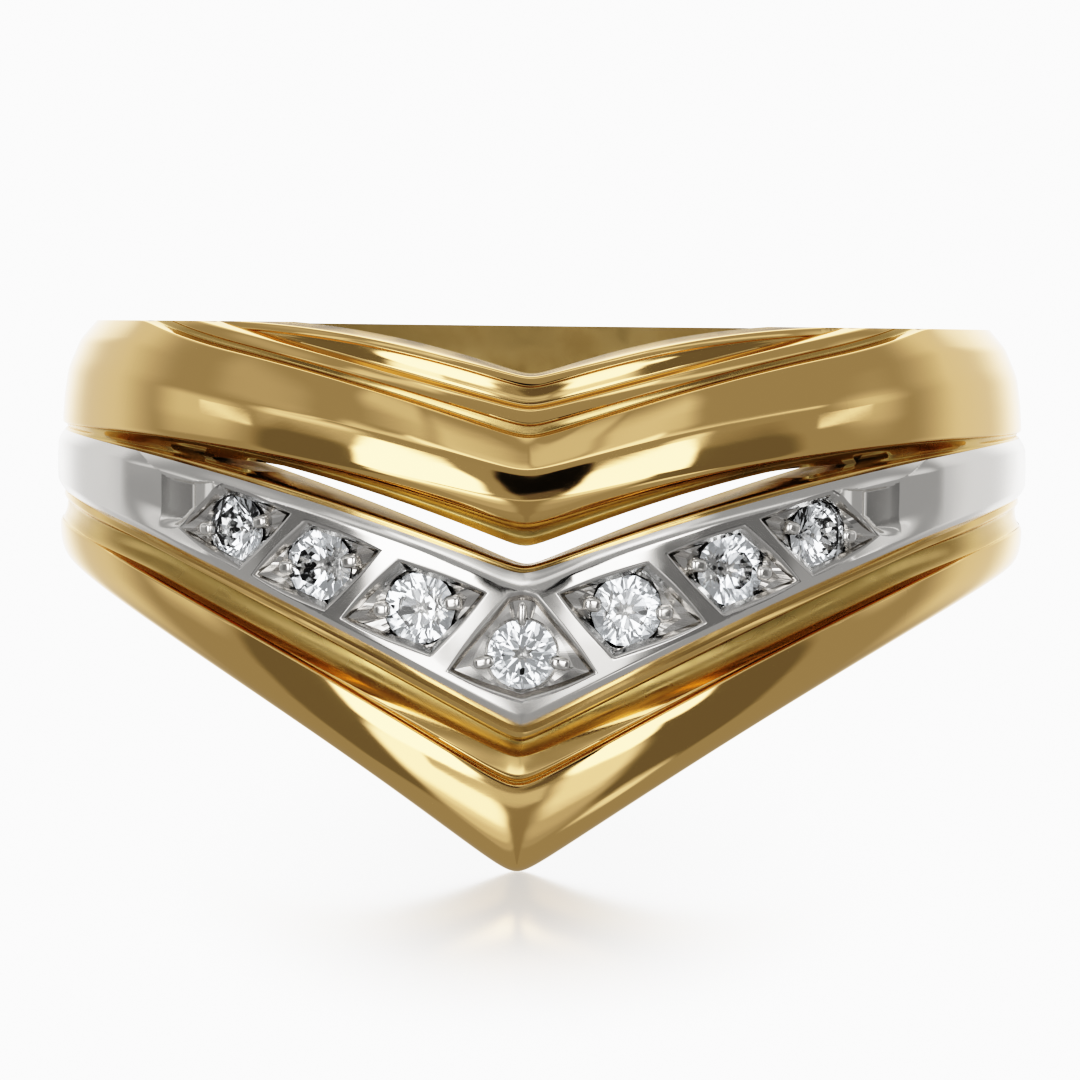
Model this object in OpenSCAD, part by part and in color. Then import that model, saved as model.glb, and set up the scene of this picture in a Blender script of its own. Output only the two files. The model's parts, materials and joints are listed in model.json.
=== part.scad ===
// Chevron ring in two colours of gold, lying on its side.
//
// The ring is drawn in its own frame, with the finger hole's axis along Z, the
// chevron's mitre at -Y and the chevron pointing down. Every edge line of the ring
// is a height that depends on the angle round the ring, which is 0 at the mitre,
// 90 at either side and 180 at the back. The last step leans the ring over, so that
// it stands on the chevron's tip and on the lower edge of the back.

/* [Ring] */
// Inside diameter of the ring
finger_d = 17.3; // [16.9:0.1:17.6]
// Greatest outside diameter, over the white bar
outer_d = 21; // [20.8:0.1:21.4]
// Height of the flat top rim above the ring's centre, at the sides
rim_h = 4.67; // [4.5:0.05:4.8]
// How far the flat top rim falls from the front to the back
rim_fall = 0.26; // [0:0.02:0.4]
// Height of the lower edge above the ring's centre, at the back
back_low = 1.95; // [1.7:0.05:2.1]
// Outside radius of the plain shank at the back
shank_r = 9.95; // [9.8:0.05:10.1]

/* [White bar] */
// Angle from the mitre at which each tail of the white bar ends
tail_angle = 112; // [104:1:118]
// Radius of the seat's floor under the white bar
seat_r = 9.28; // [9.2:0.02:9.34]
// Clearance between the white bar and its seat
seat_gap = 0.02; // [0.01:0.01:0.04]
// Angle from the mitre at which the open slot above the white bar ends
slot_angle = 46; // [30:1:47]

/* [Stones] */
// Diameter of the five middle stones
stone_d = 1.5; // [1.4:0.02:1.52]
// Diameter of the two end stones
end_stone_d = 1.42; // [1.3:0.02:1.44]
// Radius from the ring's axis to the girdles
girdle_r = 10.2; // [10.16:0.01:10.24]
// Radius from the ring's axis to the pockets' floors
floor_r = 10.08; // [10.04:0.01:10.12]
// Radius of a grain that holds a stone
grain_r = 0.17; // [0.14:0.01:0.19]

/* [Hidden] */

yellow_gold = "goldenrod";
white_gold = "silver";
colourless = "azure";

// Numbers of cross-sections in half of the band, in half of a cut or of the white bar, and
// in half of the slot, and how much closer together they are at the mitre
sections = 46;
cut_sections = 30;
slot_sections = 16;
section_spread = 1.35;

bore_r = finger_d / 2;
// The finger hole is a hair wider below the closed circle of the shank
bore_relief = 0.02;
// Radius of the sections' inner side, which the finger hole cuts away
core_r = bore_r - 0.45;
// Height of the bevel inside the lower edge
inner_bevel = 0.70;
face_r = outer_d / 2;
// Radii of the lower edge where it touches the floor: its inner side at the tip, and the
// outer side of the shank at the back
tip_low_r = 9.0;
back_low_r = 9.55;
// Depths below a rail's edge of its nose and of its foot
nose_drop = 0.08;
foot_drop = 0.28;
// Size of a cut that reaches past the whole ring
beyond = 40;

// Columns of the table of edge lines
tip = 0;
rise = 1;
bow = 2;
soft = 3;
climb = 4;
back = 5;

// Edge lines, in order down the ring. A line starts at the tip height in the mitre and
// climbs by the rise at the sides, with a bow between. Soft rounds it at the mitre, and
// a line with a climb runs out at the flat top rim. Behind the sides each runs to the
// back height.
//                    tip   rise   bow   soft  climb back
rail_a_inner      = [ 3.82, 0.62,  2.62, 0.04, 3.00, 6.45];
rail_a_top        = [ 3.50, 0.95,  2.20, 0.04, 3.00, 6.30];
rail_b_top        = [ 3.03, 2.35,  0.35, 0.04, 0.00, 5.70];
rail_b_low        = [ 2.63, 2.35,  0.80, 0.04, 1.00, 5.30];
upper_bar_top     = [ 2.44, 2.35,  1.15, 0.05, 1.00, 5.00];
upper_bar_crown   = [ 1.36, 1.34,  1.20, 0.10, 0.00, 3.60];
upper_bar_low     = [ 0.85, 1.60,  1.50, 0.06, 0.00, 3.40];
ledge_top         = [ 0.53, 1.90,  1.80, 0.05, 0.00, 3.37];
slot_top          = [ 0.22, 2.20,  1.95, 0.04, 0.00, 3.36];
slot_low          = [-0.19, 2.60,  1.35, 0.04, 0.00, 3.34];
white_top         = [-0.33, 2.71,  1.25, 0.04, 0.00, 3.31];
white_low         = [-3.51, 4.59,  0.85, 0.03, 0.00, 3.03];
step_low          = [-3.76, 4.74,  0.60, 0.03, 0.00, 3.00];
rail_c_top        = [-4.13, 4.68,  0.20, 0.04, 0.00, 2.97];
crease            = [-4.70, 5.30,  1.00, 0.10, 0.00, 2.90];
lower_bar_crown   = [-5.15, 5.20,  0.90, 0.05, 0.00, 2.80];
lower_bar_low     = [-6.54, 6.13,  0.95, 0.03, 0.00, back_low];

// Columns of the tables of radii
in_front = 0;
at_sides = 1;
at_back = 2;

// Radii of the band's profile, down the ring. The relief in front fades into plain sides,
// and these into the shank at the back.
//                    front  sides  back
rail_a_top_r      = [  9.32,  9.32,  9.32];
rail_a_nose_r     = [  9.35,  9.35,  9.35];
rail_a_foot_r     = [  9.24,  9.30,  9.30];
rail_b_top_r      = [  9.55,  9.42,  9.42];
rail_b_low_r      = [  9.61,  9.46,  9.46];
rail_b_foot_r     = [  9.57,  9.48,  9.48];
upper_bar_top_r   = [  9.76,  9.56,  9.50];
upper_bar_crown_r = [ 10.42, 10.40, shank_r];
upper_bar_low_r   = [ 10.30, 10.36, shank_r];
upper_bar_foot_r  = [ 10.06, 10.34, shank_r];
ledge_top_r       = [  9.78, 10.33, shank_r];
ledge_foot_r      = [  9.76, 10.33, shank_r];
base_top_r        = [  9.98, 10.34, shank_r];
base_low_r        = [ 10.02, 10.34, shank_r];
step_low_r        = [  9.82, 10.35, shank_r];
rail_c_top_r      = [  9.86, 10.40, shank_r];
rail_c_crown_r    = [ 10.20, 10.43, shank_r];
crease_r          = [ 10.10, 10.42, shank_r];
lower_bar_crown_r = [ 10.46, 10.40, shank_r];
lower_bar_low_r   = [  9.74,  9.78, back_low_r];

// Radii of the white bar's edges and of its crown
white_edge_r      = [face_r - 0.22, face_r - 0.12, face_r - 0.16];
white_crown_r     = [face_r - 0.04, face_r, face_r - 0.02];

// Columns of the table of the stones' places
stone_side = 0;
stone_up = 1;

// Where each stone sits, from the mitre outward: the angle round the ring and the height
stone_places = [[0, -2.01], [12.1, -1.09], [24.7, -0.245], [36.45, 0.445]];

// Corners of each pocket from its stone's centre, sideways and up: the inner and the
// outer corner above, then the outer and the inner corner below
pocket_corners = [
    [[-0.30, 1.28], [0.30, 1.28], [1.58, -0.38], [0.00, -1.00], [-1.58, -0.38]],
    [[-1.42, 0.36], [0.44, 1.04], [1.72, -0.25], [-0.27, -1.02]],
    [[-1.48, 0.35], [0.28, 0.97], [1.62, -0.25], [-0.18, -0.97]],
    [[-1.52, 0.38], [0.32, 0.95], [1.68, -0.03], [-0.18, -0.85]]];

// Where the grains stand round each stone, as angles from the way outward along the bar
grain_angles = [[-12, 192, 90], [-5, 175], [-6, 176], [0, 170]];
// How far a grain's round head rises above the girdles
grain_rise = 0.10;

// A stone's proportions, as shares of its radius
table_share = 0.56;
break_share = 0.79;
break_rise = 0.175;
crown_rise = 0.30;
pavilion_depth = 0.86;
// Half of a girdle's height, and the clearance round a stone
girdle_half = 0.015;
stone_gap = 0.02;

function mix(a, b, t) = a + (b - a) * t;
function smooth(t) = let (c = min(max(t, 0), 1)) c * c * (3 - 2 * c);

// How far the ring's relief has faded into its plain sides, and these into the back, and
// how far the upper lines have climbed to the rim
function faded(a) = smooth((a - 48) / 20);
function behind(a) = smooth((a - 90) / 55);
function climbed(a) = smooth((a - 40) / 60);

// Height of the flat top rim
function rim_z(a) = rim_h + rim_fall / 2 * cos(a);

// Height of an edge line at an angle from the mitre, from 0 to 180
function line_z(line, a) =
    let (u = sin(min(a, 90)),
         s = sqrt(u * u + line[soft] * line[soft]) - line[soft],
         front = line[tip] + line[rise] * s + line[bow] * s * (1 - s))
    mix(front + line[climb] * climbed(a), line[back], behind(a));

// The upper bar's top edge runs out at the flat rim
function upper_bar_top_z(a) =
    let (free = line_z(upper_bar_top, a), stop = rim_z(a) + 0.03, k = 0.06)
    (free + stop - sqrt((free - stop) * (free - stop) + k * k)) / 2;

// Radius of a profile point at an angle, from its row of the tables
function radius(row, a) =
    mix(mix(row[in_front], row[at_sides], faded(a)), row[at_back], behind(a));

// Quarter of an ellipse from one profile point to another, without its first point.
// It leaves the first point along the radius, or along the height.
function quarter(p, q, steps, along_radius) = [
    for (i = [1:steps])
        let (t = 90 * i / steps)
        along_radius
            ? [mix(p[0], q[0], sin(t)), mix(q[1], p[1], cos(t))]
            : [mix(q[0], p[0], cos(t)), mix(p[1], q[1], sin(t))]];

// Outline of the band's cross-section at an angle from the mitre, as radius and height,
// from the core up over the rails and bars and back under the lower bar
function band_outline(a) =
    let (a_top = line_z(rail_a_top, a),
         b_low = line_z(rail_b_low, a),
         bar_top = [radius(upper_bar_top_r, a), upper_bar_top_z(a)],
         bar_crown = [radius(upper_bar_crown_r, a), line_z(upper_bar_crown, a)],
         bar_low = [radius(upper_bar_low_r, a), line_z(upper_bar_low, a)],
         ledge = line_z(ledge_top, a),
         base_top = line_z(slot_low, a),
         step = line_z(step_low, a),
         rail_top = [radius(rail_c_top_r, a), line_z(rail_c_top, a)],
         valley = [radius(crease_r, a), line_z(crease, a)],
         rail_crown = [radius(rail_c_crown_r, a), mix(rail_top[1], valley[1], 0.5)],
         low_crown = [radius(lower_bar_crown_r, a), line_z(lower_bar_crown, a)],
         low = [radius(lower_bar_low_r, a), line_z(lower_bar_low, a)])
    concat(
        [[core_r, line_z(rail_a_inner, a)],
         [radius(rail_a_top_r, a), a_top],
         [radius(rail_a_nose_r, a), a_top - nose_drop],
         [radius(rail_a_foot_r, a), a_top - foot_drop],
         [radius(rail_b_top_r, a), line_z(rail_b_top, a)],
         [radius(rail_b_low_r, a), b_low],
         [radius(rail_b_foot_r, a), b_low - nose_drop],
         bar_top],
        quarter(bar_top, bar_crown, 5, true),
        quarter(bar_crown, bar_low, 2, false),
        [[radius(upper_bar_foot_r, a), mix(bar_low[1], ledge, 0.75)],
         [radius(ledge_top_r, a), ledge],
         [radius(ledge_foot_r, a), base_top],
         [radius(base_top_r, a), base_top - 0.01],
         [radius(base_low_r, a), step],
         [radius(step_low_r, a), step - 0.03],
         rail_top],
        quarter(rail_top, rail_crown, 2, true),
        [valley],
        quarter(valley, low_crown, 2, true),
        quarter(low_crown, low, 4, false),
        [[tip_low_r, low[1]],
         [core_r, low[1] + inner_bevel]]);

// Outline of the white bar's cross-section, with rounded shoulders
function white_outline(a) =
    let (top = line_z(white_top, a),
         low = line_z(white_low, a),
         middle = (top + low) / 2,
         edge_r = radius(white_edge_r, a),
         crown_r = radius(white_crown_r, a),
         inner_r = seat_r + seat_gap,
         steps = 4)
    concat(
        [[inner_r, low], [inner_r, top], [edge_r, top]],
        quarter([edge_r, top], [crown_r, middle], steps, true),
        quarter([crown_r, middle], [edge_r, low], steps, false));

// Outline of the seat that is cut in the band for the white bar
function seat_outline(a) =
    let (top = line_z(white_top, a) + seat_gap, low = line_z(white_low, a) - seat_gap)
    [[seat_r, low], [seat_r, top], [face_r + 0.5, top], [face_r + 0.5, low]];

// Outline of the cut that opens the slot, which closes to a rounded end
function slot_outline(a) =
    let (closing = sqrt(max(0, 1 - pow(a / slot_angle, 6))),
         top = line_z(slot_top, a),
         low = line_z(slot_low, a) + 0.03,
         middle = (top + low) / 2,
         half = max(0.02, (top - low) / 2 * closing),
         outer_r = base_top_r[in_front] - 0.08)
    [[core_r, middle - half], [core_r, middle + half],
     [outer_r, middle + half], [outer_r, middle - half]];

// A point of an outline, placed round the ring
function placed(p, a) = [p[0] * sin(a), -p[0] * cos(a), p[1]];

// Angles of an open sweep, closer together at the mitre
function sweep_angles(end, count) = [
    for (i = [-count:count])
        sign(i) * end * pow(abs(i) / count, section_spread)];

// Skin over the outlines at a list of angles. A closed skin joins its last outline to its
// first, and an open one has flat ends.
module skin(outlines, angles, closed) {
    n = len(outlines[0]);
    count = len(angles);
    points = [
        for (i = [0:count - 1])
            for (p = outlines[i])
                placed(p, angles[i])];
    last = closed ? count - 1 : count - 2;
    walls = [
        for (i = [0:last])
            for (j = [0:n - 1])
                let (here = i * n, next = ((i + 1) % count) * n, k = (j + 1) % n)
                for (face = [[here + j, next + j, next + k], [here + j, next + k, here + k]])
                    face];
    start_cap = [for (j = [n - 1:-1:0]) j];
    end_cap = [for (j = [0:n - 1]) (count - 1) * n + j];
    polyhedron(points, closed ? walls : concat(walls, [start_cap, end_cap]), 4);
}

// Puts its children at a stone's place, with their Z along the radius outward, X along
// the way outward from the mitre on that side and Y up
module at_stone(index, side) {
    place = stone_places[index];
    direction = side * place[stone_side];
    rotate([0, 0, direction])
        translate([0, 0, place[stone_up]])
            rotate([90, 0, 0])
                mirror([side < 0 ? 1 : 0, 0, 0])
                    children();
}

// Every stone's index from the mitre and its side, from left to right
stone_order = [[3, -1], [2, -1], [1, -1], [0, 1], [1, 1], [2, 1], [3, 1]];

function stone_size(index) = index == 3 ? end_stone_d : stone_d;

// The whole ring, leaned over so that the tip and the back's lower edge touch the floor
tip_touch = [tip_low_r, line_z(lower_bar_low, 0)];
back_touch = [mix(back_low_r, shank_r, cos(67.5)),
              mix(lower_bar_crown[back], back_low, sin(67.5))];
lean = atan((back_touch[1] - tip_touch[1]) / (back_touch[0] + tip_touch[0]));
floor_drop = tip_touch[0] * sin(lean) + tip_touch[1] * cos(lean);
front_reach = max([for (p = band_outline(0)) p[0] * cos(lean) - p[1] * sin(lean)]);
back_reach = max([
    for (p = band_outline(180))
        if (p[1] < rim_z(180)) p[0] * cos(lean) + p[1] * sin(lean)]);

module lying() {
    translate([0, (front_reach - back_reach) / 2, -floor_drop])
        rotate([-lean, 0, 0])
            children();
}

// Solid for the yellow gold band, before the cuts
module band_body() {
    angles = [
        for (i = [-sections + 1:sections])
            sign(i) * 180 * pow(abs(i) / sections, section_spread)];
    skin([for (a = angles) band_outline(abs(a))], angles, true);
}

// Everything above the flat top rim
module above_rim() {
    slope = atan(rim_fall / 2 / upper_bar_top_r[at_back]);
    translate([0, 0, rim_h])
        rotate([-slope, 0, 0])
            translate([-beyond / 2, -beyond / 2, 0])
                cube(beyond);
}

// The finger hole: the closed circle of the shank, and the wider stretch below it
module finger_hole() {
    closed_low = back_low + inner_bevel;
    translate([0, 0, closed_low])
        cylinder(r = bore_r, h = beyond, $fn = 96);
    translate([0, 0, closed_low - beyond])
        cylinder(r = bore_r + bore_relief, h = beyond, $fn = 96);
}

module band() {
    seat_angles = sweep_angles(tail_angle + 0.15, cut_sections);
    slot_angles = sweep_angles(slot_angle, slot_sections);
    color(yellow_gold)
        lying()
            difference() {
                band_body();
                above_rim();
                finger_hole();
                skin([for (a = seat_angles) seat_outline(abs(a))], seat_angles, false);
                skin([for (a = slot_angles) slot_outline(abs(a))], slot_angles, false);
            }
}

// Cutter for one pocket, and for the seat of its stone
module pocket(index) {
    translate([0, 0, floor_r])
        linear_extrude(1)
            polygon(pocket_corners[index]);
    stone_space(index);
}

// Space round a stone, as a straight girdle and two cones
module stone_space(index) {
    r = stone_size(index) / 2 + stone_gap;
    half = girdle_half * 2;
    translate([0, 0, girdle_r - half])
        cylinder(r = r, h = 2 * half, $fn = 32);
    translate([0, 0, girdle_r + half])
        cylinder(r1 = r, r2 = r * table_share, h = crown_rise * r, $fn = 32);
    translate([0, 0, girdle_r - half - pavilion_depth * r])
        cylinder(r1 = stone_gap, r2 = r, h = pavilion_depth * r, $fn = 32);
}

// Grains that hold one stone, each a short post with a round head
module grains(index) {
    reach = stone_size(index) / 2 + 0.05;
    foot = floor_r - 0.1;
    head = girdle_r + grain_rise;
    for (turn = grain_angles[index])
        rotate([0, 0, turn])
            translate([reach, 0, 0]) {
                translate([0, 0, foot])
                    cylinder(r = grain_r * 0.9, h = head - foot, $fn = 24);
                translate([0, 0, head])
                    sphere(r = grain_r, $fn = 24);
            }
}

module channel() {
    angles = sweep_angles(tail_angle, cut_sections);
    color(white_gold)
        lying()
            difference() {
                union() {
                    difference() {
                        skin([for (a = angles) white_outline(abs(a))], angles, false);
                        for (s = stone_order)
                            at_stone(s[0], s[1])
                                pocket(s[0]);
                    }
                    for (s = stone_order)
                        at_stone(s[0], s[1])
                            grains(s[0]);
                }
                for (s = stone_order)
                    at_stone(s[0], s[1])
                        stone_space(s[0]);
            }
}

// Ring of points round a stone's axis, at a radius and a height
function stone_ring(count, r, z, turn) = [
    for (i = [0:count - 1])
        [r * cos(turn + 360 * i / count), r * sin(turn + 360 * i / count), z]];

// Round brilliant with its table, crown, girdle and pavilion facets
module brilliant(d) {
    r = d / 2;
    points = concat(
        stone_ring(8, table_share * r, girdle_half + crown_rise * r, 22.5),
        stone_ring(8, break_share * r, girdle_half + break_rise * r, 0),
        stone_ring(16, r, girdle_half, 0),
        stone_ring(16, r, -girdle_half, 0),
        [[0, 0, -girdle_half - pavilion_depth * r]]);
    hull()
        polyhedron(points, [[for (i = [0:len(points) - 1]) i]]);
}

// One of the seven stones, counted from the left
module stone(number) {
    place = stone_order[number - 1];
    color(colourless)
        lying()
            at_stone(place[0], place[1])
                translate([0, 0, girdle_r])
                    brilliant(stone_size(place[0]));
}

band();
channel();
stone(1);  // stone_1
stone(2);  // stone_2
stone(3);  // stone_3
stone(4);  // stone_4
stone(5);  // stone_5
stone(6);  // stone_6
stone(7);  // stone_7
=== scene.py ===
# Looks of a chevron ring in two colours of gold, lying on its side on a pale floor.
import math

import bmesh
import bpy
import numpy as np
from mathutils import Matrix, Vector
from mathutils.geometry import delaunay_2d_cdt
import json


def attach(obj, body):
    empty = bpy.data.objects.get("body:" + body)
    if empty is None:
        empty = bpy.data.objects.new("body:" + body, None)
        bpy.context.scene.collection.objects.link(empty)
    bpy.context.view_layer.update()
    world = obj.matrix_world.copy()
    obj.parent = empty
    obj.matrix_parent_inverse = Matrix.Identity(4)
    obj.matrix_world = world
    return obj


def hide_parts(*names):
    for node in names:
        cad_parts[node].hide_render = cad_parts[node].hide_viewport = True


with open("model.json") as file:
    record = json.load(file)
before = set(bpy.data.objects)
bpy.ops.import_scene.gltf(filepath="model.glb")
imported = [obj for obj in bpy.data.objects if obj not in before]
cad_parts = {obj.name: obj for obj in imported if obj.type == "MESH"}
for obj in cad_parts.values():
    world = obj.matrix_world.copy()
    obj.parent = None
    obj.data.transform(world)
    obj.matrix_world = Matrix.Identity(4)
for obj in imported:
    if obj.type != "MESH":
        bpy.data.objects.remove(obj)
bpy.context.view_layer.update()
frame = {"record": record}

# Shapes below are in millimetres, in the ring's own frame: the finger hole's axis is Z, the mitre
# is at -Y and the chevron points down. Angles are in degrees from the mitre.
MM = 0.001
# How far along the bore's axis the finger mount's point is from the ring's centre
FINGER_POINT_H = 3.2
finger = next(m for m in frame["record"]["mounts"] if m["name"] == "finger")
bore_axis = Vector(finger["axis"]).normalized()
lean = math.atan2(bore_axis.y, bore_axis.z)
ring_centre = Vector(finger["pos_m"]) - bore_axis * FINGER_POINT_H * MM
bore_r = finger["dims"]["r_mm"]

# Height of the flat rim at the sides, and how far it falls from the front to the back
rim_h = 4.67
rim_fall = 0.26
# Height of the back's lower edge, and the radius of the plain shank there
back_low = 1.95
shank_r = 9.95
# Radius of the tip's lowest edge, and height of the bevel from there to the bore
tip_low_r = 9.0
inner_bevel = 0.70
# Radius of the white bar's seat
seat_r = 9.28
# Where the slot ends at the bore and at the face, and where the white bar's tails end
slot_bore_angle = 49
slot_face_angle = 41
tail_angle = 112
# Diameters of the stones, the two at the ends apart, and the radius that their girdles are at
stone_d = 1.5
end_stone_d = 1.42
girdle_r = 10.2


def turned(ways, back=False):
    """Directions of the ring's own frame as ones of the row frame, or back."""
    x, y, z = np.asarray(ways, float).reshape(-1, 3).T
    c, s = math.cos(lean), math.sin(-lean if back else lean)
    return np.stack([x, y * c + z * s, z * c - y * s], 1)


def to_row(points):
    """Points of the ring's own frame, in mm, as points of the row frame, in metres."""
    return turned(points) * MM + np.array(ring_centre)


def mix(a, b, t):
    return a + (b - a) * t


def smooth(t):
    c = np.clip(t, 0, 1)
    return c * c * (3 - 2 * c)


# Start and length of three changes round the ring: to plainer sides, to the back, and of some lines
# up to the rim
SIDE_CHANGE = (48, 20)
BACK_CHANGE = (90, 55)
CLIMB = (40, 60)


def change(a, start, length):
    return smooth((a - start) / length)


def faded(a):
    return change(a, *SIDE_CHANGE)


def behind(a):
    return change(a, *BACK_CHANGE)


def rim_z(a):
    return rim_h + rim_fall / 2 * np.cos(np.radians(a))


# Edge lines: height at the mitre, rise at the sides, bow, softness at the mitre, climb to the
# rim, height behind
LINES = {
    "rail_a_inner": (3.74, 0.75, 2.40, 0.030, 3.0, 6.45),
    "rail_a_low": (3.50, 0.95, 2.20, 0.030, 3.0, 6.30),
    "rail_b_top": (3.03, 2.35, 0.35, 0.030, 0.0, 5.70),
    "rail_b_low": (2.70, 2.35, 0.78, 0.030, 1.0, 5.30),
    "upper_bar_top": (2.45, 2.35, 1.15, 0.035, 1.0, 5.00),
    "upper_bar_crown": (1.14, 1.40, 1.25, 0.060, 0.0, 3.60),
    "upper_bar_low": (0.88, 1.60, 1.50, 0.045, 0.0, 3.40),
    "ledge_top": (0.58, 1.90, 1.80, 0.030, 0.0, 3.37),
    "slot_top": (0.22, 2.20, 1.95, 0.025, 0.0, 3.36),
    "slot_low": (-0.19, 2.60, 1.35, 0.025, 0.0, 3.34),
    "white_top": (-0.33, 2.71, 1.25, 0.025, 0.0, 3.31),
    "white_low": (-3.51, 4.59, 0.85, 0.020, 0.0, 3.03),
    "step_low": (-3.76, 4.74, 0.60, 0.020, 0.0, 3.00),
    "rail_c_top": (-4.13, 4.68, 0.20, 0.025, 0.0, 2.97),
    "crease": (-4.66, 5.24, 1.00, 0.032, 0.0, 2.90),
    "lower_bar_crown": (-4.84, 5.28, -0.26, 0.030, 0.0, 2.80),
    "lower_bar_low": (-6.54, 6.13, 0.95, 0.030, 0.0, back_low),
}


def line_z(name, a):
    tip, rise, bow, soft, climb, back = LINES[name]
    u = np.sin(np.radians(np.minimum(a, 90)))
    s = np.sqrt(u * u + soft * soft) - soft
    front = tip + rise * s + bow * s * (1 - s) + climb * change(a, *CLIMB)
    return mix(front, back, behind(a))


def lines_z(a, *names):
    return [line_z(name, a) for name in names]


# The band is drawn a little higher than its flat rim and cut off there; softness of the bend into it
RIM_SPARE = 0.03
RIM_BLEND = 0.06


def upper_bar_top_z(a):
    """Height of the upper bar's top edge, which bends softly into the rim."""
    free = line_z("upper_bar_top", a)
    stop = rim_z(a) + RIM_SPARE
    return (free + stop - np.sqrt((free - stop) ** 2 + RIM_BLEND ** 2)) / 2


def rounded(corners):
    """Closed outline with its corners rounded, and how recessed each of its points is, which sets the
    painted shade in its colour and its roughness.
    """
    n = len(corners)
    size = max(np.size(c[0]) for c in corners)
    points = [np.stack([np.broadcast_to(c[0], size), np.broadcast_to(c[1], size)], -1) for c in corners]
    out, recess_shades = [], []
    for i, (_, _, cut, count, recess_shade) in enumerate(corners):
        here = points[i]
        recess_shades += [recess_shade] * (count + 1 if cut else 1)
        if not cut:
            out.append(here)
            continue
        ends = []
        for other in (points[i - 1], points[(i + 1) % n]):
            way = other - here
            length = np.linalg.norm(way, axis=-1, keepdims=True) + 1e-9
            ends.append(here + way / length * np.minimum(cut, 0.48 * length))
        for k in range(count + 1):
            t = k / count
            out.append((1 - t) ** 2 * ends[0] + 2 * t * (1 - t) * here + t * t * ends[1])
    return np.stack(out, 1), np.array(recess_shades)


# The upper bar from its top edge to its crown: share of the way down, radius in front and at the sides
UPPER_BAR = ((0.20, 10.03, 10.03), (0.44, 10.26, 10.25), (0.52, 10.32, 10.30), (0.76, 10.39, 10.37))
# The lower bar from its crown to the tip: share of the way down, and how far inside the crown
LOWER_BAR = ((0.25, 0.012), (0.50, 0.055), (0.70, 0.13), (0.85, 0.25), (0.94, 0.38), (1.0, 0.60))
# How much of that is left at the back, and how far the valley's lower side leans back
LOWER_BAR_BACK = 0.70
VALLEY_LEAN = 0.07
# The bore's flare under the rim: its height, its width in front and behind, and where that changes
FLARE_H = 1.7
FLARE = (0.03, 0.36)
FLARE_CHANGE = (60, 50)
# Radius of the slot's groove at the mitre, and its changes: start, length and radius after it
GROOVE_R = 9.66
GROOVE_STEPS = ((31, 9, 10.12), (42.5, 1.2, 9.78), (44.5, 7, 10.04), (52, 4, 10.28))
# Powers of the curve by which the slot narrows to its ends
SLOT_POWERS = (4, 0.6)
# How far behind the tails' ends, in degrees, the seat starts to close
CLOSE_FROM = 0.5
# The lowest point of the tip, which touches the floor
TIP = (0, -9.0, -6.54)
# The mitres' lean in degrees for each mm of height, the height without any, and its reach
SKEW = 0.10
SKEW_Z = -1.5
SKEW_REACH = 16


# Cross-sections of the band: up to which angle, and how far apart
COLUMNS = ((3, 0.15), (42, 0.4), (46, 0.2), (70, 0.45), (125, 1.0), (180, 2.2))


def half_columns(stretches):
    """Columns from 0 outward; each stretch is where it ends and how far apart they are."""
    half = [0.0]
    for stop, step in stretches:
        while half[-1] < stop - step / 2:
            half.append(min(half[-1] + step, stop))
    return np.array(half)


def column_angles():
    half = half_columns(COLUMNS)
    return np.concatenate([-half[:0:-1], half[:-1]])


def corner(radius, z, cut=0.0, steps=3, recess_shade=0.0):
    """A corner of the outline: its place, how much is rounded off, in how many steps, and how recessed it
    is, for the painted shade in its colour and its roughness.
    """
    return radius, z, cut, steps, recess_shade


def radius_at(a):
    """Function that turns a radius in front, at the sides and behind into the one at angles."""
    f, b = faded(a), behind(a)
    return lambda front, side, rear=shank_r: mix(mix(front, side, f), rear, b)


def bore_top(a):
    """The flare's width at the bore's upper edge, and that edge's height."""
    top = np.minimum(line_z("rail_a_inner", a), rim_z(a)) + RIM_SPARE
    return mix(*FLARE, change(a, *FLARE_CHANGE)), top


def rail_corners(a, r):
    """The bore's upper edge and the two stepped rails in the notch."""
    low, next_top, next_low = lines_z(a, "rail_a_low", "rail_b_top", "rail_b_low")
    flare, top = bore_top(a)
    return [
        corner(bore_r + flare, top, 0.04),
        corner(r(9.31, 9.26, 9.26), low + mix(0.21, 0.16, smooth(a / 12)), 0.05),
        corner(r(9.37, 9.34, 9.34), low + 0.01, 0.02),
        corner(r(9.32, 9.30, 9.30), low - 0.02, 0.02, 3, 0.2),
        corner(r(9.335, 9.32, 9.32), mix(low, next_top, 0.4), 0.12, 4),
        corner(r(9.32, 9.32, 9.32), next_top + 0.08, 0.05, 3, 0.1),
        corner(r(9.57, 9.42, 9.42), next_top, 0.04),
        corner(r(9.68, 9.48, 9.46), next_low + 0.02, 0.04),
        corner(r(9.60, 9.46, 9.46), next_low - 0.01, 0.02, 3, 0.5),
        corner(r(9.60, 9.48, 9.47), mix(next_low, upper_bar_top_z(a), 0.80), 0.05, 3, 0.6),
    ]


def upper_bar_corners(a, r):
    top = upper_bar_top_z(a)
    crown, low = lines_z(a, "upper_bar_crown", "upper_bar_low")
    return [
        corner(r(9.82, 9.66, 9.50), top, 0.04),
        *(corner(r(front, side), mix(top, crown, t), 0.10, 4) for t, front, side in UPPER_BAR),
        corner(r(10.43, 10.40), crown, 0.12, 4),
        corner(r(10.35, 10.38), low, 0.05),
    ]


def ledge_corners(a, r):
    bar_low, ledge, slot_top = lines_z(a, "upper_bar_low", "ledge_top", "slot_top")
    return [
        corner(r(10.22, 10.36), mix(bar_low, ledge, 0.65), 0.05, 3, 0.2),
        corner(r(9.90, 10.33), ledge - 0.02, 0.05, 3, 0.8),
        corner(r(9.80, 10.31), mix(ledge, slot_top, 0.5), 0.06, 3, 1.0),
        corner(r(9.92, 10.30), slot_top, 0.03, 3, 0.9),
    ]


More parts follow.
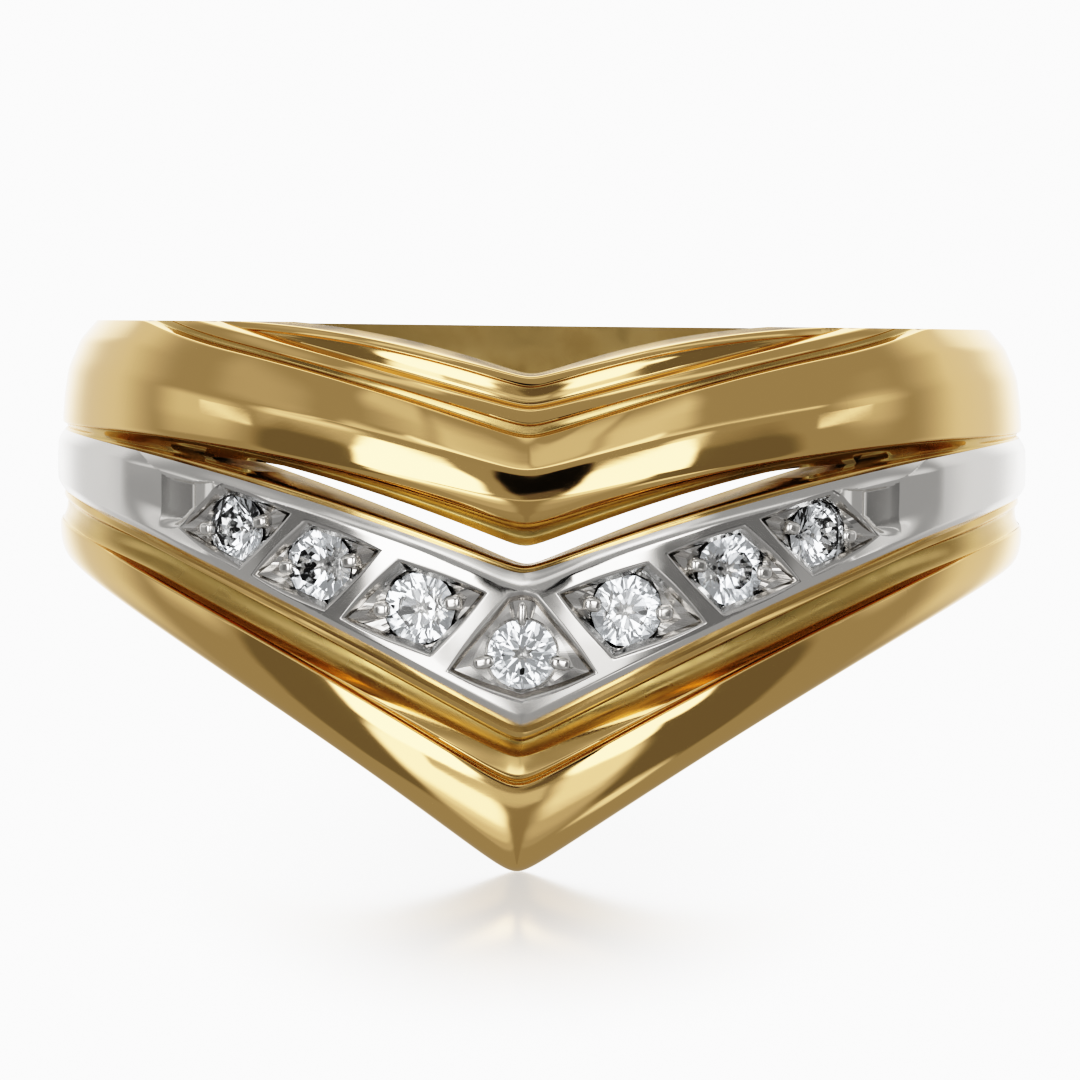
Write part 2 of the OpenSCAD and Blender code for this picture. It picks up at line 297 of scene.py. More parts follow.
def slot_heights(a, end):
    """Heights of the slot's upper and lower side, which meet at its end angle."""
    top, low = lines_z(a, "slot_top", "slot_low")
    middle = (top + low) / 2
    power, root = SLOT_POWERS
    half = (top - low) / 2 * np.clip(1 - (a / end) ** power, 0, 1) ** root
    return middle + half, middle - half


def slot_corners(a):
    """The slot's two edges at the face, at the bottom of the groove."""
    radius = GROOVE_R
    for start, length, after in GROOVE_STEPS:
        radius = mix(radius, after, change(a, start, length))
    radius = mix(radius, shank_r - 0.01, behind(a))
    return [corner(radius, z, recess_shade=0.9) for z in slot_heights(a, slot_face_angle)]


def seat_corners(a, r):
    """The edge under the slot and the seat, which closes behind the white bar's tails."""
    slot_low, top, low = lines_z(a, "slot_low", "white_top", "white_low")
    upper_lip, lower_lip = r(10.06, 10.34), r(10.03, 10.34)
    closed = smooth(a - tail_angle - CLOSE_FROM)
    return [
        corner(r(9.94, 10.32), slot_low, 0.03, 3, 0.9),
        corner(upper_lip, slot_low - 0.05, 0.04, 3, 0.3),
        corner(upper_lip, top - 0.03, 0.02),
        corner(mix(seat_r, upper_lip, closed), top - 0.03),
        corner(mix(seat_r, lower_lip, closed), low + 0.03),
        corner(lower_lip, low + 0.03, 0.02),
    ]


def step_corners(a, r):
    """The step and the rail below the white bar."""
    step, rail, valley = lines_z(a, "step_low", "rail_c_top", "crease")
    return [
        corner(r(10.16, 10.35), step + 0.03, 0.04, 3, 0.1),
        corner(r(9.86, 10.27), step - 0.05, 0.06, 3, 1.0),
        corner(r(9.93, 10.29), mix(step, rail, 0.66), 0.12, 4, 0.8),
        corner(r(10.10, 10.37), rail, 0.03, 3, 0.3),
        corner(r(10.37, 10.40), mix(rail, valley, 0.8), 0.08, 4),
        corner(r(10.25, 10.37), valley, 0.03, 3, 0.8),
    ]


def lower_bar_corners(a, r):
    valley, crown, low = lines_z(a, "crease", "lower_bar_crown", "lower_bar_low")
    crown_r = r(10.43, 10.43)
    shrink = mix(1, LOWER_BAR_BACK, behind(a))
    return [
        corner(crown_r - VALLEY_LEAN * (valley - 0.05 - crown), valley - 0.05, 0.03),
        corner(crown_r, crown, 0.14, 4),
        *(corner(crown_r - drop * shrink, mix(crown, low, t), 0.14, 4) for t, drop in LOWER_BAR),
        corner(tip_low_r, low + 0.04, 0.10),
    ]


def bore_corners(a):
    """The bore, from its lower edge up over the slot's inner side to the flare under the rim."""
    slot_top, slot_low = slot_heights(a, slot_bore_angle)
    flare, top = bore_top(a)
    return [
        corner(bore_r, line_z("lower_bar_low", a) + inner_bevel, 0.10),
        corner(bore_r, slot_low),
        corner(bore_r, slot_top),
        *(corner(bore_r + flare * t * t, top - FLARE_H * (1 - t)) for t in (0.0, 0.25, 0.5, 0.75)),
    ]


def band_outline(a):
    """Cross-section of the band at angles from the mitre, and where the slot and the bore are in it."""
    r = radius_at(a)
    above_slot = rail_corners(a, r) + upper_bar_corners(a, r) + ledge_corners(a, r)
    above_bore = above_slot + slot_corners(a) + seat_corners(a, r) + step_corners(a, r)
    above_bore += lower_bar_corners(a, r)
    outline = above_bore + bore_corners(a)

    def first(i):
        return sum(1 if not c[2] else c[3] + 1 for c in outline[:i])

    return *rounded(outline), first(len(above_slot)), first(len(above_bore) + 1)


def placed(outlines, angles):
    """Outlines as points round the ring; the line of the mitres leans a little."""
    r, z = outlines[..., 0], outlines[..., 1]
    lean_share = np.exp(-(angles / SKEW_REACH) ** 2)[:, None]
    t = np.radians(angles[:, None] + SKEW * (z - SKEW_Z) * lean_share)
    return np.stack([r * np.sin(t), -r * np.cos(t), z], -1)


# Inside this radius the band gets no painted recess shade; below the other one, over a length, the inside
# of the ring starts to be rougher from wear and darker as painted shade
INSIDE_R = 9.1
WEAR_AND_SHADE_R = 9.3
WEAR_AND_SHADE_OVER = 0.35
# How much of the painted shade in the recesses goes at the sides and at the back
RECESS_SHADE_FADE = (0.6, 0.4)
# Radius at which the flat rim's height is measured, and the angle in degrees of a sharp edge
RIM_R = 9.5
BAND_SHARP = 35


def band_faces(in_slot, count, slot_i, bore_i):
    """Faces between the columns: the outline's sides and, where the slot is open, its two walls."""
    columns = len(in_slot)
    faces = []
    for i in range(columns):
        j = (i + 1) % columns
        opened = in_slot[i] or in_slot[j]
        for k in range(count):
            m = (k + 1) % count
            if opened and k in (slot_i, bore_i):
                continue
            faces.append((i * count + k, j * count + k, j * count + m, i * count + m))
        if opened:
            for outer, inner in ((slot_i, bore_i + 1), (bore_i, slot_i + 1)):
                faces.append((i * count + outer, j * count + outer, j * count + inner, i * count + inner))
    return faces


def cut_rim(bm):
    """Cuts the band off at its flat rim, and closes the cut."""
    slope = math.atan(rim_fall / 2 / RIM_R)
    plane_point = Vector(to_row([[0, 0, rim_h]])[0])
    tilt = Matrix.Rotation(-lean, 3, "X") @ Matrix.Rotation(-slope, 3, "X")
    plane_normal = tilt @ Vector((0, 0, 1))
    cut = bmesh.ops.bisect_plane(
        bm, geom=bm.verts[:] + bm.edges[:] + bm.faces[:], dist=1e-7,
        plane_co=plane_point, plane_no=plane_normal, clear_outer=True)
    rim_edges = [e for e in cut["geom_cut"] if isinstance(e, bmesh.types.BMEdge)]
    bmesh.ops.triangle_fill(bm, edges=rim_edges, use_beauty=True)


def mark_sharp(bm, sharp):
    """Marks as sharp the edges that bend by more than an angle in degrees."""
    for edge in bm.edges:
        edge.smooth = edge.calc_face_angle(0) < math.radians(sharp)


def new_mesh(name, points, faces):
    mesh = bpy.data.meshes.new(name)
    mesh.from_pydata([tuple(p) for p in to_row(points)], [], faces)
    return mesh


def set_values(mesh, name, values, domain="FACE", kind="FLOAT"):
    mesh.attributes.new(name, kind, domain).data.foreach_set("value", values)


def linked_object(data):
    obj = bpy.data.objects.new(data.name, data)
    bpy.context.scene.collection.objects.link(obj)
    return obj


def make_band():
    angles = column_angles()
    away = np.abs(angles)
    outlines, recess_shades, slot_i, bore_i = band_outline(away)
    points = placed(outlines, angles).reshape(-1, 3)
    faces = band_faces(away < slot_bore_angle - 0.01, outlines.shape[1], slot_i, bore_i)
    mesh = new_mesh("band_gold", points, faces)
    # Painted shade: a darker colour in the recesses, less at the sides and the back, and none inside the
    # bore
    depth = 1 - RECESS_SHADE_FADE[0] * faded(away) - RECESS_SHADE_FADE[1] * behind(away)
    recess_shade = np.where(outlines[..., 0] < INSIDE_R, 0, recess_shades * depth[:, None])
    set_values(mesh, "recess_shade", recess_shade.ravel(), "POINT")
    # Inside the ring: rougher from wear, and darker as painted shade
    wear_and_shade = smooth((WEAR_AND_SHADE_R - outlines[..., 0]) / WEAR_AND_SHADE_OVER)
    set_values(mesh, "wear_and_shade", wear_and_shade.ravel(), "POINT")
    bm = bmesh.new()
    bm.from_mesh(mesh)
    bmesh.ops.remove_doubles(bm, verts=bm.verts, dist=1e-7)
    bmesh.ops.recalc_face_normals(bm, faces=bm.faces)
    cut_rim(bm)
    bmesh.ops.dissolve_degenerate(bm, dist=1e-8, edges=bm.edges)
    bmesh.ops.recalc_face_normals(bm, faces=bm.faces)
    for face in bm.faces:
        face.smooth = True
    mark_sharp(bm, BAND_SHARP)
    bm.to_mesh(mesh)
    bm.free()
    return linked_object(mesh)


# Colour and roughness inside the ring: the darker colour is painted shade, and the roughness is where
# wear has dulled the polish
INSIDE_SHADE_COLOUR = (0.42, 0.30, 0.14)
WORN_ROUGHNESS = 0.42
# Noise scales, to the metre, of the marks that make the polish uneven, the slight wave in it and the
# fine polishing lines, and the lines' scale along each axis
MARKS_SCALE = 900
WAVE_SCALE = 700
LINES_SCALE = 9000
LINES_STRETCH = (0.15, 1, 1)
# Height of the wave and of the polishing lines, in metres, and how strongly each shows
WAVE = (0.00004, 0.05)
POLISH_LINES = (0.000002, 0.10)
# By how much the marks lower and raise the roughness, between two levels of their noise
MARKS_NOISE = (0.35, 0.65)
MARKS_EFFECT = (0.7, 1.5)


class Nodes:
    """Nodes of one material or world, with short ways to add and link them."""

    def __init__(self, owner):
        owner.use_nodes = True
        self.tree = owner.node_tree

    def put(self, socket, value):
        """Links an output to a socket, or sets the socket's own value."""
        if isinstance(value, bpy.types.NodeSocket):
            self.tree.links.new(value, socket)
        else:
            socket.default_value = value

    def add(self, kind, inputs=(), **settings):
        """Adds a node; its inputs are given by name or number."""
        node = self.tree.nodes.new(kind)
        for name, value in settings.items():
            setattr(node, name, value)
        for name, value in dict(inputs).items():
            self.put(node.inputs[name], value)
        return node

    def place(self):
        return self.add("ShaderNodeTexCoord").outputs["Object"]

    def attribute(self, name):
        return self.add("ShaderNodeAttribute", attribute_name=name).outputs["Fac"]

    def noise(self, place, scale, detail):
        node = self.add("ShaderNodeTexNoise", {"Vector": place, "Scale": scale, "Detail": detail})
        return node.outputs["Fac"]

    def bump(self, height, distance, strength):
        return self.add("ShaderNodeBump", {"Height": height, "Distance": distance, "Strength": strength})

    def mix(self, kind, factor, a, b):
        node = self.add("ShaderNodeMix", {"Factor": factor, "A": a, "B": b}, data_type=kind)
        return node.outputs["Result"]

    def map_range(self, value, start, end, low, high, shape="LINEAR"):
        """A value's range from start to end, as one from low to high."""
        inputs = {"Value": value, "From Min": start, "From Max": end, "To Min": low, "To Max": high}
        return self.add("ShaderNodeMapRange", inputs, interpolation_type=shape).outputs["Result"]

    def math(self, operation, *values):
        return self.add("ShaderNodeMath", enumerate(values), operation=operation).outputs[0]

    def vector(self, operation, a, b=(0, 0, 0), result="Vector"):
        return self.add("ShaderNodeVectorMath", {0: a, 1: b}, operation=operation).outputs[result]


def gold_material(name, colour, shade_colour, roughness, deep_roughness):
    """Polished gold: rougher in its recesses and inside the ring, and darker there as painted shade, with
    faint marks and a slight wave.
    """
    material = bpy.data.materials.new(name)
    nodes = Nodes(material)
    shader = nodes.tree.nodes["Principled BSDF"].inputs
    shader["Metallic"].default_value = 1
    place = nodes.place()
    recess_shade, wear_and_shade = nodes.attribute("recess_shade"), nodes.attribute("wear_and_shade")
    # Painted shade: the colour darkens in the recesses and, further on, inside the ring
    shaded_colour = nodes.mix("RGBA", recess_shade, (*colour, 1), (*shade_colour, 1))
    nodes.put(shader["Base Color"], nodes.mix("RGBA", wear_and_shade, shaded_colour, (*INSIDE_SHADE_COLOUR, 1)))
    rough = nodes.map_range(recess_shade, 0, 1, roughness, deep_roughness)
    worn_rough = nodes.mix("FLOAT", wear_and_shade, rough, WORN_ROUGHNESS)
    marks = nodes.map_range(nodes.noise(place, MARKS_SCALE, 3), *MARKS_NOISE, *MARKS_EFFECT)
    nodes.put(shader["Roughness"], nodes.math("MULTIPLY", worn_rough, marks))
    stretched = nodes.add("ShaderNodeMapping", {"Vector": place, "Scale": LINES_STRETCH}).outputs[0]
    wave = nodes.bump(nodes.noise(place, WAVE_SCALE, 1), *WAVE)
    lines = nodes.bump(nodes.noise(stretched, LINES_SCALE, 2), *POLISH_LINES)
    nodes.put(lines.inputs["Normal"], wave.outputs[0])
    nodes.put(shader["Normal"], lines.outputs[0])
    return material


# The second colour of each gold is its painted shade in recesses
yellow_gold = gold_material("yellow_gold", (0.90, 0.61, 0.28), (0.52, 0.38, 0.16), 0.05, 0.30)
white_gold = gold_material("white_gold", (0.84, 0.82, 0.79), (0.66, 0.645, 0.625), 0.13, 0.18)

band = make_band()
band.data.materials.append(yellow_gold)
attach(band, "root")
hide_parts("band")

# The white bar. Its face is drawn on the plane of s, the way round the ring at FACE_MAP_R, and z.
FACE_MAP_R = 10.4
# Radius of the face's middle in front and at the sides, the fall to its edges, and its lean in front
FACE_R = 10.46
SIDE_FACE_R = 10.50
FACE_CROWN = 0.03
FACE_LEAN = 0.03
# Width and drop of the face's shoulders, and of the upper one at the mitre, with how far that reaches
TOP_SHOULDER = (0.24, 0.12)
LOW_SHOULDER = (0.28, 0.18)
MITRE_SHOULDER = (0.36, 0.20)
MITRE_REACH = 7
# Radius of the bar's underside, and width of the face for each mm of its height, as its lines slope
UNDER_R = 9.32
LINE_SLOPE = 0.9

# Where each stone sits, from the mitre outward: angle and height
STONES = ((0.0, -2.01), (12.1, -1.09), (24.7, -0.245), (36.45, 0.445))
# Corners of each pocket from its stone's centre, along s and z, seen on the right-hand side
POCKETS = (
    ((-0.30, 1.28), (0.30, 1.28), (1.59, -0.37), (0.0, -1.01), (-1.59, -0.37)),
    ((-1.52, 0.36), (0.41, 1.05), (1.70, -0.25), (-0.31, -1.03)),
    ((-1.55, 0.35), (0.21, 0.97), (1.57, -0.25), (-0.25, -0.98)),
    ((-1.63, 0.38), (0.23, 0.96), (1.62, -0.02), (-0.28, -0.86)),
)
# Grains round each stone: along s and z from its centre, the pocket corner that its tail runs to, and
# its half length and half width
GRAINS = (
    ((0.0, 0.86, None, 0.29, 0.11), (0.80, -0.17, 2, 0.23, 0.15), (-0.80, -0.17, 4, 0.23, 0.15)),
    ((-0.74, 0.13, 0, 0.20, 0.17), (0.79, -0.04, 2, 0.20, 0.17)),
    ((-0.77, 0.10, 0, 0.20, 0.16), (0.72, -0.06, 2, 0.20, 0.16)),
    ((-0.74, 0.17, 0, 0.19, 0.15), (0.73, -0.01, 2, 0.19, 0.15)),
)
# Pocket wall, from its edge inward: inset and depth
WALL = ((0.020, 0.002), (0.045, 0.009), (0.070, 0.021), (0.095, 0.039), (0.115, 0.062), (0.20, 0.15))
# How far a pocket's sides bow outward, how far apart its edge's points are, and how far the grid's
# points stay away, as a share of its size
POCKET_BOW = 0.055
EDGE_STEP = 0.075
EDGE_ROOM = 1.03
# The pockets' engraved floor: depth at the wall, fall to the stone, length and depth of its cuts
FLOOR_DEPTH = 0.19
FLOOR_FALL = 0.09
CUT_LENGTH = 0.34
CUT_DEPTH = 0.035
# A grain's tail in a corner: its width, and its depth at the wall and at the stone
TAIL_WIDTH = 0.36
TAIL_DEPTH = (0.05, 0.10)
# The cup under each stone: share of the stone's radius, and radius in the ring; the floor's gap round
# the stone, and the least floor beside the wall
CUP = ((0.9, 10.10), (0.45, 9.80), (0.12, 9.62))
STONE_GAP = 0.03
LEAST_FLOOR = 0.01
# A grain: rings of points and points in each, how many right angles they go down from its top, how
# round it is, its middle's radius and its rise
GRAIN_RINGS = 10
GRAIN_POINTS = 24
GRAIN_SWEEP = 1.5
GRAIN_SQUARE = 0.72
GRAIN_R = 10.27
GRAIN_RISE = 0.18
# Crease under the upper shoulder beyond the last pocket, as s and z
CREASE = ((6.95, 1.42), (7.6, 1.38), (8.4, 1.46), (9.1, 1.72), (9.8, 2.05))
# The hollow under that crease: its depth, start and length of its changes, where it starts and ends
# along s and above the bar's lower edge, and its softness at the crease
SCOOP_DEPTH = 0.15
SCOOP_STARTS = (7.0, 0.5)
SCOOP_FADES = (8.6, 1.6)
SCOOP_ABOVE = (0.15, 0.7)
SCOOP_SOFT = 0.05
# The upright cut beside the last pocket: its ends along s, how far from the pocket it stays, its least
# width, the share of its width where it is deepest, its depth, its softness under the crease, and its
# lowest height with the length of the change
CUT_ENDS = (7.72, 8.87)
CUT_APART = 0.07
CUT_LEAST = 0.05
CUT_BOTTOM = 0.30
CUT_DROP = 0.21
CUT_SOFT = 0.08
CUT_LOW = (0.40, 0.22)
# Columns of the face: up to which s, and how far apart
FACE_COLUMNS = ((0.5, 0.03), (9.0, 0.11), (11.0, 0.14))
FACE_LAST_STEP = 0.22
# Lines along the face: distances from its upper and lower edges, and shares of the middle between
TOP_LINES = (0, 0.008, 0.025, 0.05, 0.085, 0.125, 0.175, 0.24, 0.30)
MIDDLE_LINES = (0.3, 0.4, 0.5, 0.6, 0.7, 0.8)
MIDDLE_EDGES = (0.24, 0.28)
LOW_LINES = (0.28, 0.21, 0.15, 0.10, 0.06, 0.03, 0.01, 0)
# The finer grid for the hollow and the cut: where the other grid stops and goes on along s, this one's
# ends, its step, its rows and the shares of the height at its first and last
COARSE_ENDS = (6.88, 10.02)
FINE_ENDS = (6.9, 10.0)
FINE_STEP = 0.045
FINE_ROWS = 56
FINE_SHARES = (0.02, 0.98)


def stone_radius(index):
    return (end_stone_d if index == 3 else stone_d) / 2


def stone_spots():
    """Index, side, s and z of each stone, from left to right."""
    order = ((3, -1), (2, -1), (1, -1), (0, 1), (1, 1), (2, 1), (3, 1))
    return [(i, side, side * math.radians(STONES[i][0]) * FACE_MAP_R, STONES[i][1]) for i, side in order]


def pocket_edge(index, side, s0, z0):
    """Edge of a pocket as a fine outline with bowed sides, and which corner each point is, if any."""
    corners = [np.array((side * s + s0, z + z0)) for s, z in POCKETS[index]]
    centre = np.array((s0, z0))
    points, labels = [], []
    for i, here in enumerate(corners):
        there = corners[(i + 1) % len(corners)]
        way = there - here
        count = round(np.linalg.norm(way) / EDGE_STEP)
        out = np.array((way[1], -way[0])) / np.linalg.norm(way)
        if np.dot(out, (here + there) / 2 - centre) < 0:
            out = -out
        for k in range(count):
            t = k / count
            points.append(here + way * t + out * POCKET_BOW * math.sin(math.pi * t))
            labels.append(i if k == 0 else None)
    return np.array(points), labels


def inside(points, outline):
    """Which of some points lie inside a closed outline."""
    x, y = np.asarray(points, float).T
    hit = np.zeros(len(x), bool)
    for (x0, y0), (x1, y1) in zip(outline, np.roll(outline, -1, 0)):
        across = (y0 > y) != (y1 > y)
        with np.errstate(divide="ignore", invalid="ignore"):
            hit ^= across & (x < (x1 - x0) * (y - y0) / (y1 - y0) + x0)
    return hit


def crease_z(s):
    knots = np.array(CREASE)
    return np.interp(s, knots[:, 0], knots[:, 1])


def wall_s(z):
    """Where the outer wall of the last pocket is along s, at some heights."""
    angle, middle = STONES[3]
    (s0, z0), (s1, z1) = POCKETS[3][1:3]
    return math.radians(angle) * FACE_MAP_R + s0 + (z - middle - z0) * (s1 - s0) / (z1 - z0)


def end_cut_depth(s, z):
    """How deep the concave cut beside the last pocket is: steep on the pocket's side, then a ramp."""
    along = np.abs(s)
    start = np.maximum(wall_s(z) + CUT_APART, CUT_ENDS[0])
    width = np.maximum(CUT_ENDS[1] - start, CUT_LEAST)
    share = np.clip((along - start) / width, 0, 1)
    steep = 1 - (1 - np.minimum(share / CUT_BOTTOM, 1)) ** 2
    ramp = np.minimum((1 - share) / (1 - CUT_BOTTOM), 1)
    size = np.minimum(width / (CUT_ENDS[1] - CUT_ENDS[0]), 1)
    under_crease = smooth((crease_z(along) - z) / CUT_SOFT)
    return CUT_DROP * size * np.minimum(steep, ramp) * under_crease * change(z, *CUT_LOW)


def face_angle(s):
    return np.degrees(np.abs(s)) / FACE_MAP_R


def face_edges(s):
    """Heights of the face's upper and lower edge."""
    return lines_z(face_angle(s), "white_top", "white_low")


def face_radius(s, z):
    """Radius of the white bar's face."""
    a = face_angle(s)
    top, low = face_edges(s)
    t = (top - z) / (top - low)
    mitre = np.exp(-(a / MITRE_REACH) ** 2)
    top_shoulder = [mix(*pair, mitre) for pair in zip(TOP_SHOULDER, MITRE_SHOULDER)]
    base = mix(FACE_R, SIDE_FACE_R, faded(a)) - FACE_CROWN * (2 * t - 1) ** 2
    base = base - (1 - faded(a)) * FACE_LEAN * (2 * t - 1)
    for distance, (width, drop) in ((top - z, top_shoulder), (z - low, LOW_SHOULDER)):
        d = 1 - np.minimum(distance * LINE_SLOPE / width, 1)
        base = base - drop * d ** 1.5
    along = np.abs(s)
    under = smooth((crease_z(along) - z) / SCOOP_SOFT + 0.5)
    reach = change(along, *SCOOP_STARTS) * (1 - change(along, *SCOOP_FADES))
    above = change(z - low, *SCOOP_ABOVE)
    return base - SCOOP_DEPTH * under * reach * above - end_cut_depth(s, z)


def on_ring(s, z, radius):
    """Points of the face's plane at a radius, in the ring's frame."""
    t = np.asarray(s) / FACE_MAP_R
    return np.stack([radius * np.sin(t), -radius * np.cos(t), np.broadcast_to(z, np.shape(t))], -1)


def face_normal(s, z):
    """True normals of the face, from four points close round each one."""
    step = 0.004
    here = [on_ring(s + ds, z + dz, face_radius(s + ds, z + dz))
            for ds, dz in ((step, 0), (-step, 0), (0, step), (0, -step))]
    normal = np.cross(here[0] - here[1], here[2] - here[3])
    return normal / np.linalg.norm(normal, axis=-1, keepdims=True)


def face_columns():
    end = math.radians(tail_angle) * FACE_MAP_R
    half = half_columns((*FACE_COLUMNS, (end, FACE_LAST_STEP)))
    return np.concatenate([-half[:0:-1], half])


def face_grid():
    """Points along the face's lines, from its upper edge to its lower one."""
    columns = face_columns()
    top, low = face_edges(columns)
    width = (top - low) * LINE_SLOPE - sum(MIDDLE_EDGES)
    lines = [top - d / LINE_SLOPE for d in TOP_LINES]
    lines += [top - (MIDDLE_EDGES[0] + width * share) / LINE_SLOPE for share in MIDDLE_LINES]
    lines += [low + d / LINE_SLOPE for d in LOW_LINES]
    return np.stack([np.broadcast_to(columns, (len(lines), len(columns))), np.array(lines)], -1)


def fine_grid():
    """Points of the finer grid on the right-hand side, and its columns."""
    s = np.arange(*FINE_ENDS, FINE_STEP)
    top, low = face_edges(s)
    heights = mix(top, low, np.linspace(*FINE_SHARES, FINE_ROWS)[:, None])
    return np.stack([np.broadcast_to(s, heights.shape), heights], -1).reshape(-1, 2), s


def face_mesh():
    """Points on the face's plane and triangles between them, without the pockets, and the two edges."""
    edges = [pocket_edge(*spot)[0] for spot in stone_spots()]
    grid = face_grid()
    points, links = [], []

    def add_line(line, closed=False):
        start = len(points)
        points.extend(map(tuple, line))
        links.extend((start + i, start + i + 1) for i in range(len(line) - 1))
        if closed:
            links.append((len(points) - 1, start))

    add_line(grid[0])
    add_line(grid[-1])
    for outline in edges:
        add_line(outline, True)
    fine, fine_s = fine_grid()
    for side in (-1, 1):
        for shift in (-SCOOP_SOFT / 2, 0, SCOOP_SOFT / 2):
            add_line(np.stack([side * fine_s, crease_z(fine_s) + shift], -1))
    inner = grid[1:-1].reshape(-1, 2)
    away = np.abs(inner[:, 0])
    coarse = inner[(away < COARSE_ENDS[0]) | (away > COARSE_ENDS[1])]
    inner = np.concatenate([coarse, fine, fine * (-1, 1)])
    keep = np.ones(len(inner), bool)
    for outline in edges:
        centre = outline.mean(0)
        keep &= ~inside(inner, centre + (outline - centre) * EDGE_ROOM)
    points.extend(map(tuple, inner[keep]))
    result = delaunay_2d_cdt([Vector(p) for p in points], links, [], 0, 1e-5)
    flat = np.array([tuple(v) for v in result[0]])
    triangles = np.array([f for f in result[2] if len(f) == 3])
    middle = flat[triangles].mean(1)
    top, low = face_edges(middle[:, 0])
    good = (middle[:, 1] < top) & (middle[:, 1] > low)
    for outline in edges:
        good &= ~inside(middle, outline)
    return flat, triangles[good], grid[0], grid[-1]


# Uneven numbers that scatter the depths of the pockets' cuts
SCATTER = (12.9898, 78.233, 37.719)
SCATTER_SIZE = 43758.5453


def chance(*numbers):
    """Repeatable number from -1 to 1 for some whole numbers."""
    value = math.sin(sum(n * k for n, k in zip(numbers, SCATTER))) * SCATTER_SIZE
    return 2 * (value - math.floor(value)) - 1


class Shape:
    """Points and faces that are gathered for one mesh."""

    def __init__(self):
        self.points = []
        self.faces = []
        self.kinds = []

    def add(self, points):
        start = len(self.points)
        self.points.extend(map(tuple, points))
        return list(range(start, len(self.points)))

    def face(self, corners, kind):
        self.faces.append(tuple(corners))
        self.kinds.append(kind)

    def bridge(self, a, b, kind):
        n = len(a)
        for i in range(n):
            j = (i + 1) % n
            self.face((a[i], a[j], b[j], b[i]), kind)

    def grow(self, last, points, kind):
        ring = self.add(points)
        self.bridge(last, ring, kind)
        return ring


FACE, WALLS, FLOOR, GRAIN, MIRRORED = range(5)


def tail_share(index, labels, along, whole):
    """How much each point of a pocket's edge belongs to a grain's tail, from 0 to 1."""
    share = np.zeros(len(labels))
    # One grain of the middle pocket is at no corner, so nearly all that pocket's floor is a tail
    tails = [grain[2] for grain in GRAINS[index]]
    for i, label in enumerate(labels):
        if label in tails:
            gap = np.abs(along - along[i])
            share = np.maximum(share, 1 - np.minimum(gap, whole - gap) / TAIL_WIDTH)
    return share


def add_pocket(shape, number, spot):
    """One pocket: its rounded edge, walls, engraved floor and the cup under its stone."""
    index, _, s0, z0 = spot
    edge, labels = pocket_edge(*spot)
    centre = np.array((s0, z0))
    away = edge - centre
    way = away / np.linalg.norm(away, axis=1, keepdims=True)
    top = face_radius(*edge.T)
    last = shape.add(on_ring(*edge.T, top))
    for inset, depth in WALL:
        foot = edge - way * inset
        last = shape.grow(last, on_ring(*foot.T, top - depth), WALLS)
    rs = stone_radius(index)
    room = np.linalg.norm(foot - centre, axis=1, keepdims=True)
    seat = centre + way * np.minimum(rs + STONE_GAP, room - LEAST_FLOOR)
    lengths = np.linalg.norm(np.roll(edge, -1, 0) - edge, axis=1)
    *starts, whole = np.cumsum(lengths)
    along = np.array([0, *starts])
    tail = tail_share(index, labels, along, whole)
    cuts = round(whole / CUT_LENGTH)
    for k, t in enumerate((0.0, 0.5, 1.0)):
        heights = np.array([chance(number, i % cuts, k) for i in range(cuts + 1)])
        cut = CUT_DEPTH * np.interp(along / whole * cuts, range(cuts + 1), heights)
        depth = FLOOR_DEPTH + FLOOR_FALL * t + cut
        depth = np.where(tail > 0, mix(depth, mix(*TAIL_DEPTH, t), tail), depth)
        p = foot + (seat - foot) * t
        last = shape.grow(last, on_ring(*p.T, FACE_R - depth), FLOOR if k else WALLS)
    for share, radius in CUP:
        p = centre + way * rs * share
        last = shape.grow(last, on_ring(*p.T, radius), WALLS)
    shape.face(last, WALLS)


def blunt(value):
    return np.sign(value) * np.abs(value) ** GRAIN_SQUARE


def add_grain(shape, spot, ds, dz, half_length, half_width):
    """One grain of metal, pushed over the edge of the stone: a squarish round-headed bump."""
    _, side, s0, z0 = spot
    turn = math.atan2(dz, side * ds)
    c, s = math.cos(turn), math.sin(turn)
    way = 2 * math.pi * np.arange(GRAIN_POINTS) / GRAIN_POINTS
    rings = []
    for i in range(1, GRAIN_RINGS):
        rise = math.pi / 2 * (1 - GRAIN_SWEEP * i / GRAIN_RINGS)
        u = half_length * blunt(math.cos(rise)) * blunt(np.cos(way))
        v = half_width * blunt(math.cos(rise)) * blunt(np.sin(way))
        radius = GRAIN_R + GRAIN_RISE * blunt(math.sin(rise))
        points = on_ring(u * c - v * s + s0 + side * ds, u * s + v * c + z0 + dz, radius)
        rings.append(shape.add(points))
    for a, b in zip(rings, rings[1:]):
        shape.bridge(a, b, GRAIN)
    shape.face(rings[0], GRAIN)
    shape.face(rings[-1], GRAIN)


# Angle in degrees of a sharp edge on the white bar
CHANNEL_SHARP = 40


